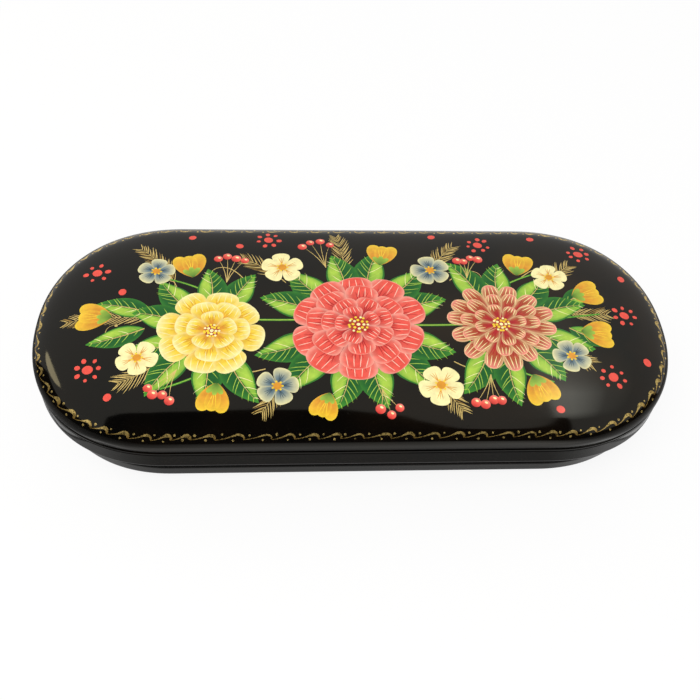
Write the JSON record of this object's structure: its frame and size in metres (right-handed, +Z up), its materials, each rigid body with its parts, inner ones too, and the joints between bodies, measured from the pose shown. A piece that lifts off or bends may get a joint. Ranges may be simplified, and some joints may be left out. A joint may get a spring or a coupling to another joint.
{
  "type": "eyeglass case",
  "caption": "Hard oval eyeglass case in black lacquer with a pillowed, painted lid hinged at the back, a gold wave border and a velvet lining.",
  "frame": {"origin": "centre of the closed case's bounding box, on the plane of its flat foot", "axes": "+X along the case, +Y towards the hinge side at the back, +Z up"},
  "size_m": [0.17, 0.0742, 0.0315],
  "materials": {
    "black_lacquer": "gloss",
    "red_velvet": "matte",
    "brass": "satin",
    "steel": "satin"
  },
  "bodies": {
    "base": {"base_rim": "black_lacquer", "base_bowl": "black_lacquer", "locating_collar": "black_lacquer", "floor_lining": "red_velvet", "wall_lining": "red_velvet", "left_base_leaf": "brass", "left_base_brad_1": "brass", "left_base_brad_2": "brass", "left_hinge_pin": "steel", "right_base_leaf": "brass", "right_base_brad_1": "brass", "right_base_brad_2": "brass", "right_hinge_pin": "steel"},
    "lid": {"lid_shell": "black_lacquer", "lid_lining": "red_velvet", "left_lid_leaf": "brass", "left_lid_brad_1": "brass", "left_lid_brad_2": "brass", "right_lid_leaf": "brass", "right_lid_brad_1": "brass", "right_lid_brad_2": "brass"}
  },
  "joints": [
    {"name": "lid_hinge", "type": "hinge", "parent": "base", "child": "lid", "pos_m": [0, 0.0356, 0.02235], "axis": [-1, 0, 0], "range_deg": [0, 105]}
  ]
}
